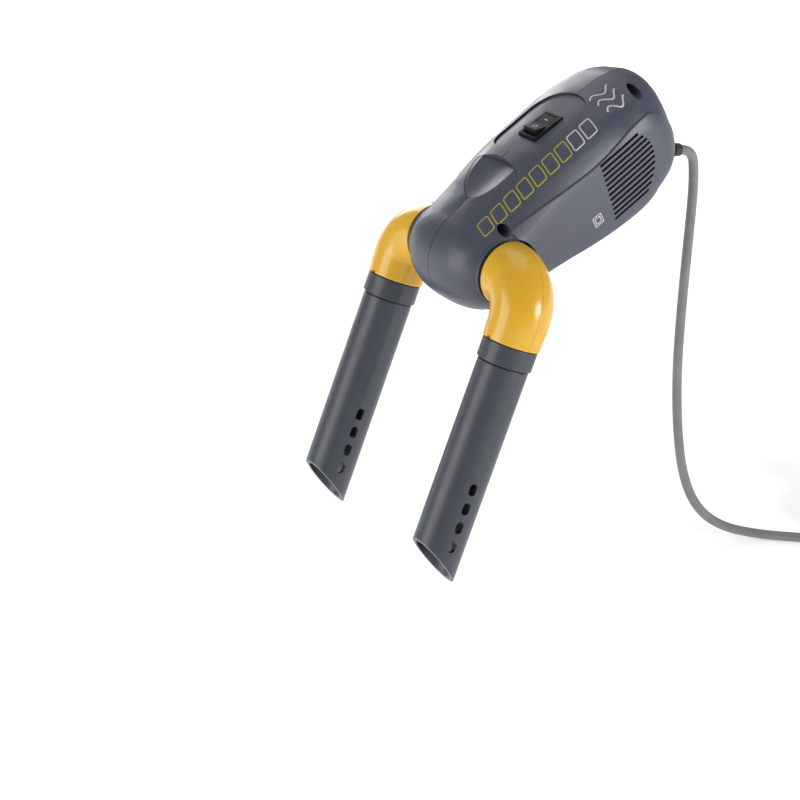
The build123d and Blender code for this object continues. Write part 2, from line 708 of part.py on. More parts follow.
def cord_coil():
    """The outer shape of the coiled length."""
    x, y = COIL_CENTRE
    ring = Pos(x, y, FLOOR_Z + COIL_HEIGHT / 2) * (
        Cylinder(COIL_MID_R + COIL_HALF, COIL_HEIGHT) - Cylinder(COIL_MID_R - COIL_HALF, COIL_HEIGHT + 2)
    )
    return tidy(ring, 2.6, ring.edges().filter_by(GeomType.CIRCLE))


def coil_tie():
    """A strap round the coil's turns, on the side away from the object."""
    x, y = COIL_CENTRE
    over = Box(2 * COIL_HALF + 2.8, 7.0, COIL_HEIGHT + 1.2)
    hole = Pos(0, 0, -0.6) * Box(2 * COIL_HALF + 0.6, 9.0, COIL_HEIGHT + 0.4)
    band = tidy(over, 1.6, over.edges().filter_by(Axis.Y)) - hole
    return Pos(x, y, FLOOR_Z + COIL_HEIGHT / 2 + 0.6) * Rot(Z=TIE_TURN) * Pos(COIL_MID_R, 0, 0) * band


def plug_place():
    """The plug lies on the coil, its cord end at the origin of its place."""
    x, y = CORD_TAIL[-1][:2]
    return Pos(x, y, FLOOR_Z + COIL_HEIGHT) * Rot(Z=PLUG_HEADING)


def plug_body():
    """A flat two-pin plug lying on its side, its cord end at the origin of its place."""
    face = Pos(PLUG_LENGTH, 0, 6.9) * Rot(Y=90) * Rectangle(13.6, 35.0)
    waist = Pos(PLUG_LENGTH * 0.55, 0, 6.4) * Rot(Y=90) * Rectangle(12.6, 27.0)
    neck = Pos(8.0, 0, 4.6) * Rot(Y=90) * Rectangle(9.2, 11.0)
    faces = []
    for sketch, corner in ((neck, 3.5), (waist, 4.5), (face, 5.5)):
        faces.append(fillet(sketch.vertices(), corner).face())
    body = loft(faces)
    sleeve = Pos(5.0, 0, 4.1) * Cylinder(3.7, 10.0, rotation=(0, 90, 0))
    return plug_place() * (body + sleeve)


def plug_pins():
    pins = []
    for side in (-1, 1):
        pin = Pos(PLUG_LENGTH + PIN_LENGTH / 2, side * PIN_SPACING / 2, 6.9)
        bar = Cylinder(PIN_R, PIN_LENGTH, rotation=(0, 90, 0))
        pins.append(plug_place() * pin * tidy(bar, 0.9, bar.edges().sort_by(Axis.X)[-1:]))
    return Compound(children=pins)


# ---- All nodes -------------------------------------------------------------

def build():
    right_shell, left_shell = housing_halves()
    body = {
        "housing_right": right_shell,
        "housing_left": left_shell,
        "housing_screws": housing_screws(),
        "switch_panel": switch_panel(),
        "thumb_rest": thumb_rest(),
        "rocker_frame": rocker_frame(),
        "rocker": rocker(),
        "switch_terminals": switch_terminals(),
        "air_manifold": air_manifold(),
        "heater_duct": heater_duct(),
        "fan_shroud": fan_shroud(),
        "impeller": impeller(),
        "motor_shaft": motor_shaft(),
        "motor_body": motor_body(),
        "motor_bushes": motor_bushes(),
        "heater_frame": heater_frame(),
        "heater_coil": heater_coil(),
        "thermal_cutout": thermal_cutout(),
        "thermal_fuse": thermal_fuse(),
        "uv_lamp": uv_lamp(),
        "lamp_holders": lamp_holders(),
        "ballast_board": ballast_board(),
        "ballast_parts": ballast_parts(),
        "internal_wires": internal_wires(),
        "intake_filter_right": intake_filter(),
        "intake_filter_left": mirrored(intake_filter()),
        "strain_relief": strain_relief(),
    }
    legs = {
        "spigot": spigot(),
        "swivel_seal": swivel_seal(),
        "elbow": elbow(),
        "tube_collar": tube_collar(),
        "dry_tube": dry_tube(),
    }
    nodes = {name: tilt(shape) for name, shape in body.items()}
    for name, shape in legs.items():
        nodes[name + "_right"] = lean(shape)
        nodes[name + "_left"] = lean(mirrored(shape))
    nodes["cord_lead"] = cord_tube("cord_lead", CORD_ROUTE)
    nodes["cord_tail"] = cord_tube("cord_tail", CORD_TAIL)
    nodes["cord_coil"] = cord_coil()
    nodes["coil_tie"] = coil_tie()
    nodes["plug_body"] = plug_body()
    nodes["plug_pins"] = plug_pins()
    return nodes


os.makedirs("parts", exist_ok=True)
for node, shape in build().items():
    export_step(shape, f"parts/{node}.step")
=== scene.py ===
import json
from math import cos, floor, pi, radians, sin

import bmesh
import bpy
from mathutils import Matrix, Vector
from mathutils.bvhtree import BVHTree


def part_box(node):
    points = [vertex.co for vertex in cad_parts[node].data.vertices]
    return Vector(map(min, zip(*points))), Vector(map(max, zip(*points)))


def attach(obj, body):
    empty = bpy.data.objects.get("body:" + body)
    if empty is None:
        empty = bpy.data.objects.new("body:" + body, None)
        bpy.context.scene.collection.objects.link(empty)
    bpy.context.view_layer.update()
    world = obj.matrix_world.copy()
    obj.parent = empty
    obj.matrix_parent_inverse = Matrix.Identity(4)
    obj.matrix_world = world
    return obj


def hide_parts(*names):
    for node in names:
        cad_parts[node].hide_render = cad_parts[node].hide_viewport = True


# Boot dryer. Metres, +Z up, the origin in the middle of the elbows' swivel axis.
# Lengths named MM are in millimetres in the code and scaled by MM.
MM = 0.001
BODY_TILT = radians(30)
LEG_LEAN = radians(22.7)

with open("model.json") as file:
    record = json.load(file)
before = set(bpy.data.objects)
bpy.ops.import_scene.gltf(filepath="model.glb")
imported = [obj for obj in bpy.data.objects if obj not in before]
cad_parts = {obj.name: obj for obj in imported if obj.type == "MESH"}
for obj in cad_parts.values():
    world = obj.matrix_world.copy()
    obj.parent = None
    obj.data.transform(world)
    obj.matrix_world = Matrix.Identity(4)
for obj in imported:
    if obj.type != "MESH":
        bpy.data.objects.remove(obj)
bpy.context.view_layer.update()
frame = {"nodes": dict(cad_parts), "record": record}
NODES = frame["nodes"]


def body_point(x, u, w):
    """A point given in the level body's millimetres, in the shared frame."""
    c, s = cos(BODY_TILT), sin(BODY_TILT)
    return Vector((x, u * c - w * s, u * s + w * c)) * MM


def leg_point(x, y, z):
    """A point given in the upright leg's millimetres, in the shared frame."""
    c, s = cos(LEG_LEAN), sin(LEG_LEAN)
    return Vector((x, y * c + z * s, z * c - y * s)) * MM


# ---- Camera ----------------------------------------------------------------

AZIMUTH = radians(57.7)
ELEVATION = radians(24.05)
DISTANCE = 1.2
LENS = 98.82
SENSOR = 36.0
ORIGIN_RIGHT = 0.0881      # where the origin shows, in picture widths from the middle
ORIGIN_UP = 0.18275


def make_camera():
    right = Vector((cos(AZIMUTH), sin(AZIMUTH), 0))
    ahead = Vector((-sin(AZIMUTH) * cos(ELEVATION), cos(AZIMUTH) * cos(ELEVATION), -sin(ELEVATION)))
    up = right.cross(ahead)
    widths = SENSOR / LENS
    place = -DISTANCE * (ahead + right * ORIGIN_RIGHT * widths + up * ORIGIN_UP * widths)
    data = bpy.data.cameras.new("camera")
    data.lens = LENS
    data.sensor_width = SENSOR
    data.clip_start = 0.05
    data.clip_end = 60
    camera = bpy.data.objects.new("camera", data)
    bpy.context.scene.collection.objects.link(camera)
    turn = Matrix((right, up, -ahead)).transposed().to_4x4()
    camera.matrix_world = Matrix.Translation(place) @ turn
    bpy.context.scene.camera = camera


# ---- Mains cord ------------------------------------------------------------

CORD_R = 2.9
LEAD = [
    (0.0, 143.0, 35.2),
    (0.0, 148.8, 34.3),
    (0.0, 153.6, 29.6),
    (0.0, 154.9, 21.6),
    (0.4, 155.0, 6.0),
    (0.2, 153.6, -22.0),
    (-0.6, 152.0, -64.0),
    (-1.4, 151.8, -108.0),
    (0.6, 153.4, -146.0),
    (3.4, 157.6, -176.0),
    (9.0, 165.2, -197.0),
    (19.0, 177.5, -208.4),
    (34.0, 195.5, -212.1),
    (51.0, 214.5, -212.1),
    (67.0, 233.0, -212.1),
    (82.5, 251.8, -212.1),
]
TAIL = [
    (71.4, 305.7, -200.3),
    (62.9, 309.9, -200.3),
    (53.4, 310.9, -200.1),
    (44.2, 308.6, -199.6),
    (36.8, 304.3, -199.1),
]
COIL_CENTRE = (52.0, 279.0)
COIL_RINGS = [40.9, 34.8, 28.7, 28.7, 34.8, 40.9, 34.0]   # radius of each turn
COIL_LAYERS = [0, 0, 0, 1, 1, 1, 2]                       # how high each turn lies
COIL_START = -41.7         # degrees round the coil where the lead comes in
COIL_END = 54.0
COIL_STEPS = 24            # points in each turn
LAYER_RISE = 5.9


def ease(t):
    t = min(max(t, 0), 1)
    return t * t * (3 - 2 * t)


def coil_points():
    """Neat turns, each on its own ring, that shift to the next ring in the last fifth of a turn."""
    whole = len(COIL_RINGS) - 1 + (COIL_END - COIL_START) / 360
    points = []
    for i in range(1, floor(whole * COIL_STEPS)):
        turns = i / COIL_STEPS
        now = min(floor(turns), len(COIL_RINGS) - 1)
        after = min(now + 1, len(COIL_RINGS) - 1)
        share = ease((turns - now - 0.8) / 0.2)
        radius = COIL_RINGS[now] + (COIL_RINGS[after] - COIL_RINGS[now]) * share
        layer = COIL_LAYERS[now] + (COIL_LAYERS[after] - COIL_LAYERS[now]) * share
        angle = radians(COIL_START + 360 * turns)
        x = COIL_CENTRE[0] + radius * cos(angle)
        y = COIL_CENTRE[1] + radius * sin(angle)
        points.append((x, y, LEAD[-1][2] + LAYER_RISE * layer))
    return points


def make_cord():
    curve = bpy.data.curves.new("mains_cord", "CURVE")
    curve.dimensions = "3D"
    curve.bevel_depth = 1.0            # each point's own radius sets the cord's
    curve.bevel_resolution = 6
    curve.use_fill_caps = True
    spline = curve.splines.new("NURBS")
    route = LEAD + coil_points() + TAIL
    spline.points.add(len(route) - 1)
    for point, at in zip(spline.points, route):
        point.co = (*(Vector(at) * MM), 1)
        point.radius = CORD_R * MM
    spline.order_u = 3
    spline.use_endpoint_u = True
    spline.resolution_u = 8
    cord = bpy.data.objects.new("mains_cord", curve)
    bpy.context.scene.collection.objects.link(cord)
    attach(cord, "root")
    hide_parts("cord_lead", "cord_coil", "cord_tail")
    Vector(LEAD[0]) * MM
    return cord


# ---- Materials -------------------------------------------------------------

class Finish:
    """A Principled material built from noise in the piece's own space."""

    def __init__(self, name):
        self.material = bpy.data.materials.new(name)
        self.material.use_nodes = True
        self.tree = self.material.node_tree
        self.tree.nodes.clear()
        self.shader = self.add("ShaderNodeBsdfPrincipled")
        out = self.add("ShaderNodeOutputMaterial")
        self.link(self.shader.outputs[0], out.inputs["Surface"])
        self.place = self.add("ShaderNodeTexCoord").outputs["Object"]

    def add(self, kind, **inputs):
        made = self.tree.nodes.new(kind)
        for name, value in inputs.items():
            made.inputs[name].default_value = value
        return made

    def link(self, a, b):
        self.tree.links.new(a, b)

    def stretched(self, scale):
        mapping = self.add("ShaderNodeMapping", Scale=scale)
        self.link(self.place, mapping.inputs["Vector"])
        return mapping.outputs[0]

    def noise(self, size, detail=2.0, at=None):
        """Noise from 0 to 1 whose features are about that size in metres."""
        made = self.add("ShaderNodeTexNoise", Scale=1 / size, Detail=detail)
        self.link(at or self.place, made.inputs["Vector"])
        return made.outputs[0]

    def cells(self, size):
        made = self.add("ShaderNodeTexVoronoi", Scale=1 / size)
        self.link(self.place, made.inputs["Vector"])
        return made.outputs["Distance"]

    def waves(self, size, direction, distort=0.0):
        made = self.add("ShaderNodeTexWave", Scale=0.314 / size, Distortion=distort)
        made.bands_direction = direction
        self.link(self.place, made.inputs["Vector"])
        return made.outputs[1]

    def spread(self, value, low, high, start=0.25, stop=0.75):
        """The value's middle range carried to low..high."""
        made = self.add("ShaderNodeMapRange")
        for i, number in enumerate((start, stop, low, high)):
            made.inputs[i + 1].default_value = number
        self.link(value, made.inputs[0])
        return made.outputs[0]

    def mix(self, share, a, b):
        """Colour a where share is 0 and b where it is 1. Each is a colour or a socket."""
        made = self.add("ShaderNodeMix")
        made.data_type = "RGBA"
        self.link(share, made.inputs[0])
        for index, colour in ((6, a), (7, b)):
            if isinstance(colour, bpy.types.NodeSocket):
                self.link(colour, made.inputs[index])
            else:
                made.inputs[index].default_value = (*colour[:3], 1)
        return made.outputs[2]

    def edges(self, radius, low=0.02, high=0.28):
        """1 on sharp convex and concave edges and 0 on open faces."""
        bevel = self.add("ShaderNodeBevel", Radius=radius)
        bevel.samples = 4
        face = self.add("ShaderNodeNewGeometry")
        dot = self.add("ShaderNodeVectorMath")
        dot.operation = "DOT_PRODUCT"
        self.link(bevel.outputs[0], dot.inputs[0])
        self.link(face.outputs["Normal"], dot.inputs[1])
        return self.spread(dot.outputs["Value"], 1, 0, 1 - high, 1 - low)

    def painted_hollow_shade(self, reach):
        """Mask for painted shade: 1 deep in grooves narrower than reach and 0 on open faces."""
        made = self.add("ShaderNodeAmbientOcclusion", Distance=reach)
        made.samples = 8
        return self.spread(made.outputs["AO"], 1, 0, 0.2, 0.62)

    def relief(self, layers, round_edge):
        """Bump layers of (height, depth) over an edge softened by round_edge."""
        bevel = self.add("ShaderNodeBevel", Radius=round_edge)
        bevel.samples = 4
        normal = bevel.outputs[0]
        for height, depth in layers:
            bump = self.add("ShaderNodeBump", Distance=depth)
            self.link(height, bump.inputs["Height"])
            self.link(normal, bump.inputs["Normal"])
            normal = bump.outputs[0]
        self.link(normal, self.shader.inputs["Normal"])

    def set(self, **inputs):
        for name, value in inputs.items():
            socket = self.shader.inputs[name.replace("_", " ")]
            if isinstance(value, bpy.types.NodeSocket):
                self.link(value, socket)
            else:
                socket.default_value = value
        return self.material


def shaded(colour, factor):
    return tuple(min(c * factor, 1) for c in colour[:3])


def moulded(
    name, colour, rough, grain=0.0005, depth=0.00001, mottle=0.06, wear=0.12, coat=0.0, shine=0.5
):
    """Injection-moulded plastic: clouding, a fine grain, paler rubbed edges and painted shade in
    grooves.
    """
    f = Finish(name)
    cloud = f.noise(0.022, 4)
    speck = f.noise(grain, 2)
    tone = f.mix(f.spread(cloud, 0, 1), shaded(colour, 1 - mottle), shaded(colour, 1 + mottle))
    tone = f.mix(f.spread(speck, 0, 0.35, 0.5, 0.8), tone, shaded(colour, 1.25))
    rubbed = f.edges(0.0005)
    worn = tuple(c * (1 - wear) + 0.5 * wear for c in shaded(colour, 1.2))
    tone = f.mix(rubbed, tone, worn)
    # Painted shade: ambient occlusion turns grooves, slots and gaps between parts near black.
    tone = f.mix(f.painted_hollow_shade(0.0016), tone, shaded(colour, 0.15))
    smear = f.noise(0.009, 5, f.stretched((1, 0.35, 1)))
    roughness = f.spread(smear, rough - 0.05, rough + 0.06)
    f.relief([(speck, depth), (cloud, depth * 3)], 0.0003)
    return f.set(
        Base_Color=tone,
        Roughness=roughness,
        Coat_Weight=coat,
        Coat_Roughness=0.12,
        Specular_IOR_Level=shine,
    )


def glossy(name, colour, painted_shade_colour, rough=0.24):
    """Bright gloss plastic: painted shade on edges and in hollows, faint orange peel and hairline
    scratches.
    """
    f = Finish(name)
    cloud = f.noise(0.03, 3)
    tone = f.mix(f.spread(cloud, 0, 1), shaded(colour, 0.96), shaded(colour, 1.04))
    # Painted shade: a darker, more orange colour on sharp edges and in hollows.
    tone = f.mix(f.edges(0.0012, 0.05, 0.5), tone, painted_shade_colour)
    peel = f.noise(0.0035, 2)
    hair = f.noise(0.0012, 3, f.stretched((1, 1, 0.06)))
    roughness = f.spread(hair, rough - 0.04, rough + 0.08, 0.3, 0.75)
    f.relief([(peel, 0.00002), (hair, 0.000002)], 0.0004)
    return f.set(
        Base_Color=tone,
        Roughness=roughness,
        Subsurface_Weight=0.12,
        Subsurface_Radius=(0.004, 0.002, 0.0005),
        Coat_Weight=0.25,
        Coat_Roughness=0.08,
    )


def metal(name, colour, rough, stretch=(1, 1, 0.05)):
    """Drawn or turned metal: fine lines one way, with a little tarnish."""
    f = Finish(name)
    lines = f.noise(0.0006, 4, f.stretched(stretch))
    stain = f.noise(0.006, 4)
    tone = f.mix(f.spread(stain, 0, 1, 0.35, 0.7), shaded(colour, 0.82), shaded(colour, 1.05))
    roughness = f.spread(lines, rough - 0.08, rough + 0.12)
    f.relief([(lines, 0.000004)], 0.0001)
    return f.set(Base_Color=tone, Roughness=roughness, Metallic=1.0)


def rubbery(name, colour, rough, grain=0.0006, depth=0.00002, sheen=0.15):
    """Soft PVC or rubber: matt, a little chalky on its edges."""
    f = Finish(name)
    cloud = f.noise(0.012, 4)
    speck = f.noise(grain, 3)
    tone = f.mix(f.spread(cloud, 0, 1), shaded(colour, 0.86), shaded(colour, 1.14))
    chalk = f.edges(0.0006)
    tone = f.mix(f.spread(chalk, 0, 0.6, 0, 1), tone, tuple(0.75 * c + 0.06 for c in colour))
    roughness = f.spread(speck, rough - 0.06, rough + 0.06)
    f.relief([(speck, depth), (cloud, depth)], 0.0002)
    return f.set(Base_Color=tone, Roughness=roughness, Sheen_Weight=sheen)


def woven(name, colour):
    """A hook-and-loop strap: a close weave with fuzzy loops."""
    f = Finish(name)
    across = f.waves(0.0009, "X", 0.6)
    along = f.waves(0.0009, "Z", 0.6)
    loops = f.noise(0.0005, 4)
    tone = f.mix(f.spread(across, 0, 1), shaded(colour, 0.7), shaded(colour, 1.3))
    tone = f.mix(f.spread(loops, 0, 0.5), tone, shaded(colour, 2.0))
    f.relief([(across, 0.0002), (along, 0.0002), (loops, 0.0002)], 0.0002)
    return f.set(Base_Color=tone, Roughness=f.spread(loops, 0.75, 0.95), Sheen_Weight=0.4)


def foamed(name, colour):
    """Open-cell filter foam."""
    f = Finish(name)
    pores = f.cells(0.0013)
    tone = f.mix(f.spread(pores, 0, 1, 0.1, 0.5), shaded(colour, 0.3), shaded(colour, 1.6))
    f.relief([(pores, 0.0006)], 0.0002)
    return f.set(Base_Color=tone, Roughness=f.spread(pores, 0.8, 1.0))


def layered(name, colour):
    """Pressed mica: flakes of slightly different tone."""
    f = Finish(name)
    flakes = f.cells(0.002)
    cloud = f.noise(0.004, 5)
    tone = f.mix(f.spread(flakes, 0, 1, 0.1, 0.7), shaded(colour, 0.75), shaded(colour, 1.1))
    tone = f.mix(f.spread(cloud, 0, 0.4), tone, shaded(colour, 0.6))
    f.relief([(flakes, 0.0001)], 0.0001)
    return f.set(Base_Color=tone, Roughness=f.spread(cloud, 0.35, 0.7))


def circuit(name, colour):
    """A solder-masked board with faint copper runs under the green."""
    f = Finish(name)
    runs = f.waves(0.0016, "X")
    weave = f.noise(0.0008, 2)
    copper = f.spread(runs, 0, 0.6, 0.62, 0.7)
    tone = f.mix(copper, colour, shaded(colour, 1.7))
    f.relief([(copper, 0.00006), (weave, 0.00001)], 0.0001)
    return f.set(Base_Color=tone, Roughness=f.spread(weave, 0.25, 0.4), Coat_Weight=0.3)


def quartz(name, colour):
    """Lamp glass with a faint frosting of phosphor dust."""
    f = Finish(name)
    dust = f.noise(0.004, 5)
    tone = f.mix(f.spread(dust, 0, 1), shaded(colour, 0.9), shaded(colour, 1.05))
    f.relief([(dust, 0.00001)], 0.0002)
    return f.set(Base_Color=tone, Roughness=f.spread(dust, 0.05, 0.25), Transmission_Weight=0.85)


HOUSING = (0.063, 0.069, 0.1)
SLATE = (0.042, 0.05, 0.064)

FINISHES = {
    "housing_grey": moulded("housing_grey", HOUSING, 0.42, wear=0.03, coat=0.12),
    "thumb_rest_grey": moulded(
        "thumb_rest_grey", shaded(HOUSING, 1.06), 0.42, wear=0.03, coat=0.12
    ),
    # The elbows' last colour is painted shade for their edges and hollows.
    "elbow_yellow": glossy("elbow_yellow", (0.76, 0.43, 0.02), (0.5, 0.22, 0.008)),
    "tube_slate": moulded("tube_slate", SLATE, 0.4, 0.0007, 0.000012, coat=0.1),
    "spigot_brown": moulded("spigot_brown", (0.03, 0.022, 0.02), 0.5),
    "switch_black": moulded(
        "switch_black",
        (0.005, 0.005, 0.006),
        0.46,
        grain=0.0004,
        depth=0.000008,
        mottle=0.03,
        wear=0.02,
        shine=0.2,
    ),
    "steel": metal("steel", (0.55, 0.55, 0.56), 0.35),
    "motor_steel": metal("motor_steel", (0.5, 0.5, 0.5), 0.4, (1, 0.05, 1)),
    "brass": metal("brass", (0.72, 0.52, 0.2), 0.3),
    "heat_plastic": moulded("heat_plastic", (0.32, 0.27, 0.2), 0.55),
    "fan_black": moulded("fan_black", (0.02, 0.02, 0.022), 0.5),
    "mica": layered("mica", (0.62, 0.55, 0.42)),
    "resistance_wire": metal("resistance_wire", (0.45, 0.42, 0.4), 0.4, (1, 1, 1)),
    "lamp_glass": quartz("lamp_glass", (0.8, 0.85, 0.95)),
    "board_green": circuit("board_green", (0.03, 0.18, 0.08)),
    "component_dark": moulded("component_dark", (0.05, 0.05, 0.06), 0.45),
    "wire_insulation": rubbery("wire_insulation", (0.35, 0.12, 0.08), 0.5),
    "filter_foam": foamed("filter_foam", (0.03, 0.03, 0.035)),
    "relief_black": rubbery("relief_black", (0.015, 0.015, 0.017), 0.52),
    "cord_grey": rubbery("cord_grey", (0.2, 0.2, 0.21), 0.48, 0.0012, 0.00003),
    "plug_grey": moulded("plug_grey", (0.19, 0.19, 0.2), 0.45),
}
STRAP = woven("strap_black", (0.02, 0.02, 0.022))


def dress_nodes():
    """Every CAD node that shows takes its slot's finish."""
    for part in frame["record"]["subparts"]:
        node = NODES[part["node"]]
        node.data.materials.clear()
        finish = STRAP if part["node"] == "coil_tie" else FINISHES[part["material_slot"]]
        node.data.materials.append(finish)


# ---- Prints on the housing --------------------------------------------------

def housing_tree():
    """The housing's outer surface, for placing the prints."""
    vertices, polygons = [], []
    for name in ("housing_right", "housing_left"):
        mesh = NODES[name].data
        first = len(vertices)
        vertices += [v.co.copy() for v in mesh.vertices]
        polygons += [[first + i for i in p.vertices] for p in mesh.polygons]
    return BVHTree.FromPolygons(vertices, polygons)


RAY_START = 0.09           # outside the body, from its middle line


def on_shell(tree, u, angle, lift):
    """The point of the shell at that place along the body and angle round it, raised by lift."""
    out = body_point(cos(angle), 0, sin(angle)).normalized()
    start = body_point(0, u, 0) + out * RAY_START
    hit, normal, _, _ = tree.ray_cast(start, -out)
    if normal.dot(out) < 0:
        normal = -normal
    return hit + normal * lift


def add_piece(name, vertices, faces, body, finish):
    mesh = bpy.data.meshes.new(name)
    mesh.from_pydata([tuple(v) for v in vertices], [], faces)
    mesh.materials.append(finish)
    piece = bpy.data.objects.new(name, mesh)
    bpy.context.scene.collection.objects.link(piece)
    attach(piece, body)
    return piece


def ribbon(line, width, closed):
    """Left and right sides of a flat line of that width, in the plane."""
    pairs = []
    count = len(line)
    for i, point in enumerate(line):
        before = line[i - 1] if closed or i > 0 else point
        after = line[(i + 1) % count] if closed or i < count - 1 else point
        run = Vector((after[0] - before[0], after[1] - before[1])).normalized()
        side = Vector((-run.y, run.x)) * width / 2
        pairs.append((Vector(point) - side, Vector(point) + side))
    return pairs


INK_BOTTOM = 0.02 * MM
INK_TOP = 0.08 * MM


def ink(name, lines, place, body, finish):
    """Flat lines of ink, each (points, width, closed), as one closed thin mesh.

    place turns (a, b, lift) into a point.
    """
    vertices, faces = [], []
    for points, width, closed in lines:
        first = len(vertices)
        pairs = ribbon(points, width, closed)
        for left, right in pairs:
            for a, b in (left, right):
                vertices.append(place(a, b, INK_BOTTOM))
                vertices.append(place(a, b, INK_TOP))
        count = len(pairs)
        for i in range(count if closed else count - 1):
            a = first + 4 * i
            b = first + 4 * ((i + 1) % count)
            faces += [(a + 1, b + 1, b + 3, a + 3), (a, a + 2, b + 2, b)]
            faces += [(a, b, b + 1, a + 1), (a + 2, a + 3, b + 3, b + 2)]
        if not closed:
            a, b = first, first + 4 * (count - 1)
            faces += [(a, a + 1, a + 3, a + 2), (b, b + 2, b + 3, b + 1)]
    piece = add_piece(name, vertices, faces, body, finish)
    mesh = bmesh.new()
    mesh.from_mesh(piece.data)
    bmesh.ops.recalc_face_normals(mesh, faces=mesh.faces)
    mesh.to_mesh(piece.data)
    mesh.free()
    return piece


def rounded_loop(corners, radius, steps=5, spacing=0.8):
    """A closed line with rounded turns and points about as far apart as spacing."""
    line = []
    count = len(corners)
    for i, corner in enumerate(corners):
        corner = Vector(corner)
        before = (Vector(corners[i - 1]) - corner).normalized() * radius
        after = (Vector(corners[(i + 1) % count]) - corner).normalized() * radius
        for k in range(steps + 1):
            t = k / steps
            line.append(corner + before * (1 - t) ** 2 + after * t ** 2)
    dense = []
    for a, b in zip(line, line[1:] + line[:1]):
        parts = max(1, round((b - a).length / spacing))
        dense += [a + (b - a) * k / parts for k in range(parts)]
    return dense


BAND_MARKS = 9
BAND_YELLOW = 7            # the first ones are yellow, the rest white
BAND_START = 1.5
BAND_PITCH = 9.7
BAND_WIDTH = 7.4
BAND_HEIGHT = 8.3
BAND_SLANT = 2.2
BAND_LINE = 0.62
BAND_CORNER = 1.3
BAND_ANGLE = 38.7          # degrees round the body at the band's lower edge
BAND_TWIST = 0.05          # degrees more for each millimetre along
SHELL_ARC = 36.0           # the shell's radius about the body's middle line, at the band
WAVE_ANGLE = 59.0
WAVE_ARC = 30.0            # the same radius, at the waves
WAVE_START = 98.5
WAVE_LENGTH = 14.5
WAVE_PITCH = 5.4
WAVE_HEIGHT = 1.9
WAVE_COUNT = 1.25          # swings in one wave
WAVE_STEPS = 36
WAVE_LINE = 0.8
SQUARE_AT = (60.0, -12.0)
SQUARE_HALVES = (2.9, 1.7)


def printed(name, colour, rough):
    """Pad-printed ink: slightly uneven cover with tiny pinholes."""
    f = Finish(name)
    cover = f.noise(0.0006, 3)
    cloud = f.noise(0.01, 3)
    tone = f.mix(f.spread(cloud, 0, 1), shaded(colour, 0.92), shaded(colour, 1.05))
    tone = f.mix(f.spread(cover, 0.35, 0, 0.24, 0.36), tone, HOUSING)
    f.relief([(cover, 0.00001)], 0.00002)
    return f.set(Base_Color=tone, Roughness=f.spread(cover, rough - 0.05, rough + 0.08))


def make_prints():
    tree = housing_tree()
    yellow = printed("ink_yellow", (0.44, 0.38, 0.02), 0.4)
    white = printed("ink_white", (0.62, 0.63, 0.65), 0.4)

    def band_angle(u):
        return radians(BAND_ANGLE + u * BAND_TWIST)

    def on_band(u, t, lift):
        return on_shell(tree, u, band_angle(u) + t / SHELL_ARC, lift)

    marks = []
    for i in range(BAND_MARKS):
        left = BAND_START + BAND_PITCH * i
        right = left + BAND_WIDTH
        upper = [(right + BAND_SLANT, BAND_HEIGHT), (left + BAND_SLANT, BAND_HEIGHT)]
        corners = [(left, 0), (right, 0)] + upper
        marks.append((rounded_loop(corners, BAND_CORNER), BAND_LINE, True))
    ink("band_yellow", marks[:BAND_YELLOW], on_band, "root", yellow)
    ink("band_white", marks[BAND_YELLOW:], on_band, "root", white)

    def on_top(u, t, lift):
        return on_shell(tree, u, radians(WAVE_ANGLE) + t / WAVE_ARC, lift)

    waves = []
    for k in (-1, 0, 1):
        line = []
        for i in range(WAVE_STEPS + 1):
            along = i / WAVE_STEPS
            swing = WAVE_HEIGHT * sin(2 * pi * WAVE_COUNT * along)
            line.append((WAVE_START + WAVE_LENGTH * along, WAVE_PITCH * k + swing))
        waves.append((line, WAVE_LINE, False))
    ink("warm_air_mark", waves, on_top, "root", white)

    def on_panel(u, w, lift):
        start = body_point(60, u, w)
        hit = tree.ray_cast(start, Vector((-1, 0, 0)))[0]
        return hit + Vector((lift, 0, 0))

    squares = []
    u, w = SQUARE_AT
    for half in SQUARE_HALVES:
        low, high = w - half, w + half
        corners = [(u - half, low), (u + half, low), (u + half, high), (u - half, high)]
        squares.append((rounded_loop(corners, 0.3), 0.5, True))
    ink("insulation_mark", squares, on_panel, "root", white)
    return white


SWITCH = (71.5, 32.9)      # the switch rim's middle, along the body and up
SWITCH_SLOPE = radians(-3.5)
PIVOT_DROP = 1.2
ROCKER_LEAN = radians(10)
ROCKER_FACES = {"nose": ((-7.9, 4.7), (0.0, 3.1)), "tail": ((0.0, 3.1), (7.9, 4.7))}


def rocker_point(x, u, w):
    """A point given about the rocker's pivot, in the rocker's own millimetres at rest."""
    angle = SWITCH_SLOPE - ROCKER_LEAN
    at_u = u * cos(angle) - w * sin(angle)
    at_w = u * sin(angle) + w * cos(angle)
    pivot_u = SWITCH[0] + PIVOT_DROP * sin(SWITCH_SLOPE)
    pivot_w = SWITCH[1] - PIVOT_DROP * cos(SWITCH_SLOPE)
    return body_point(x, pivot_u + at_u, pivot_w + at_w)


def make_switch_marks(white):
    def on_face(name):
        (u0, w0), (u1, w1) = ROCKER_FACES[name]
        along = Vector((u1 - u0, w1 - w0)).normalized()
        up = Vector((-along.y, along.x))
        middle = Vector(((u0 + u1) / 2, (w0 + w1) / 2))

        def place(a, b, lift):
            at = middle + along * a + up * (lift / MM)
            return rocker_point(b, at.x, at.y)

        return place

    ring = [(1.35 * cos(2 * pi * i / 40), 1.35 * sin(2 * pi * i / 40)) for i in range(40)]
    bar = [(0.0, -1.5 + 0.3 * i) for i in range(11)]
    ink("off_mark", [(ring, 0.42, True)], on_face("nose"), "rocker", white)
    ink("on_mark", [(bar, 0.42, False)], on_face("tail"), "rocker", white)


# ---- Moulding seams on the elbows -------------------------------------------

ELBOW_START = 36.2
ELBOW_BEND = 21.3
ELBOW_STRAIGHT = 11.0
ELBOW_R = (18.0, 15.9)
SEAM_R = 0.11
SEAM_SINK = 0.02           # the seam's middle lies this far under the elbow's skin
SEAM_SHORT = 0.7           # it stops this far before the rim


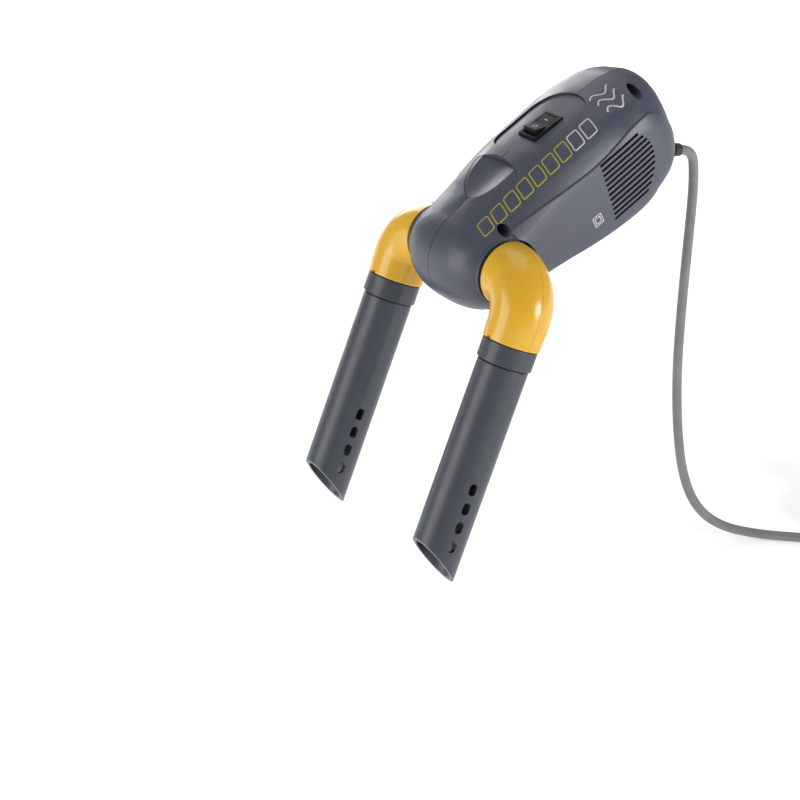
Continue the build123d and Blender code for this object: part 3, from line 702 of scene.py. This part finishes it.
def make_seams():
    """A hair-fine ridge along the outer line of each bend, where the mould's halves met."""
    length = ELBOW_BEND * pi / 2 + ELBOW_STRAIGHT
    for side, name in ((1, "right"), (-1, "left")):
        curve = bpy.data.curves.new("elbow_seam_" + name, "CURVE")
        curve.dimensions = "3D"
        curve.bevel_depth = SEAM_R * MM
        curve.bevel_resolution = 1
        curve.use_fill_caps = True
        for turn in (1, -1):
            line = []
            for i in range(33):
                angle = radians(4 + 86 * i / 32)
                radius = ELBOW_R[0] + (ELBOW_R[1] - ELBOW_R[0]) * ELBOW_BEND * angle / length
                reach = ELBOW_BEND + turn * (radius - SEAM_SINK)
                line.append((ELBOW_START + reach * sin(angle), -ELBOW_BEND + reach * cos(angle)))
            side_x = ELBOW_START + ELBOW_BEND + turn * (ELBOW_R[1] - SEAM_SINK)
            line.append((side_x, -ELBOW_BEND - ELBOW_STRAIGHT + SEAM_SHORT))
            spline = curve.splines.new("POLY")
            spline.points.add(len(line) - 1)
            for point, (x, z) in zip(spline.points, line):
                point.co = (*leg_point(side * x, 0, z), 1)
        seam = bpy.data.objects.new("elbow_seam_" + name, curve)
        bpy.context.scene.collection.objects.link(seam)
        curve.materials.append(FINISHES["elbow_yellow"])
        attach(seam, name + "_elbow")


# ---- Floor and light ---------------------------------------------------------

FLOOR_HALF = 6.0
FLOOR_GLOW = (0.38, 1.0)   # near the object and far away
FLOOR_REACH = (0.6, 1.8)   # metres between which the glow grows
LIGHT_TARGET = (0.0, 0.04, -0.02)
WORLD_STRENGTH = 0.3
# name, direction from the target, distance, size and power
SOFTBOXES = [
    ("key", (1.0, 0.52, 0.2), 1.3, 0.45, 8),
    ("front", (-0.15, -1.0, 0.16), 1.5, 0.95, 9.5),
    ("rim", (-1.0, 0.26, 0.37), 1.3, 0.7, 6.5),
    ("top", (-0.2, 0.2, 1.0), 1.4, 1.0, 3.2),
]


def make_floor():
    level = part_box("cord_coil")[0].z
    half = FLOOR_HALF
    mesh = bpy.data.meshes.new("floor")
    corners = [(-half, -half), (half, -half), (half, half), (-half, half)]
    mesh.from_pydata([(x, y, level) for x, y in corners], [], [(0, 1, 2, 3)])
    f = Finish("floor_pale")
    cloud = f.noise(0.4, 3)
    tone = f.mix(f.spread(cloud, 0, 1), (0.92, 0.92, 0.92), (0.935, 0.935, 0.935))
    far = f.add("ShaderNodeVectorMath")
    far.operation = "LENGTH"
    f.link(f.place, far.inputs[0])
    glow = f.spread(far.outputs["Value"], *FLOOR_GLOW, *FLOOR_REACH)
    white = (1.0, 1.0, 1.0, 1.0)
    lit = f.set(
        Base_Color=tone,
        Roughness=0.7,
        Specular_IOR_Level=0.2,
        Emission_Color=white,
        Emission_Strength=glow,
    )
    mesh.materials.append(lit)
    floor_piece = bpy.data.objects.new("floor", mesh)
    bpy.context.scene.collection.objects.link(floor_piece)


def softbox(name, direction, distance, size, power):
    """A square soft light that looks at the middle of the object."""
    data = bpy.data.lights.new(name, "AREA")
    data.shape = "SQUARE"
    data.size = size
    data.energy = power
    light = bpy.data.objects.new(name, data)
    target = Vector(LIGHT_TARGET)
    way = Vector(direction).normalized()
    light.location = target + way * distance
    light.rotation_mode = "QUATERNION"
    light.rotation_quaternion = way.to_track_quat("Z", "Y")
    bpy.context.scene.collection.objects.link(light)


def make_light():
    world = bpy.data.worlds.new("studio")
    world.use_nodes = True
    back = world.node_tree.nodes["Background"]
    back.inputs["Color"].default_value = (1, 1, 1, 1)
    back.inputs["Strength"].default_value = WORLD_STRENGTH
    bpy.context.scene.world = world
    for box in SOFTBOXES:
        softbox(*box)
    bpy.context.scene.view_settings.view_transform = "Standard"


make_camera()
cord = make_cord()
cord.data.materials.append(FINISHES["cord_grey"])
dress_nodes()
white_ink = make_prints()
make_switch_marks(white_ink)
make_seams()
make_floor()
make_light()
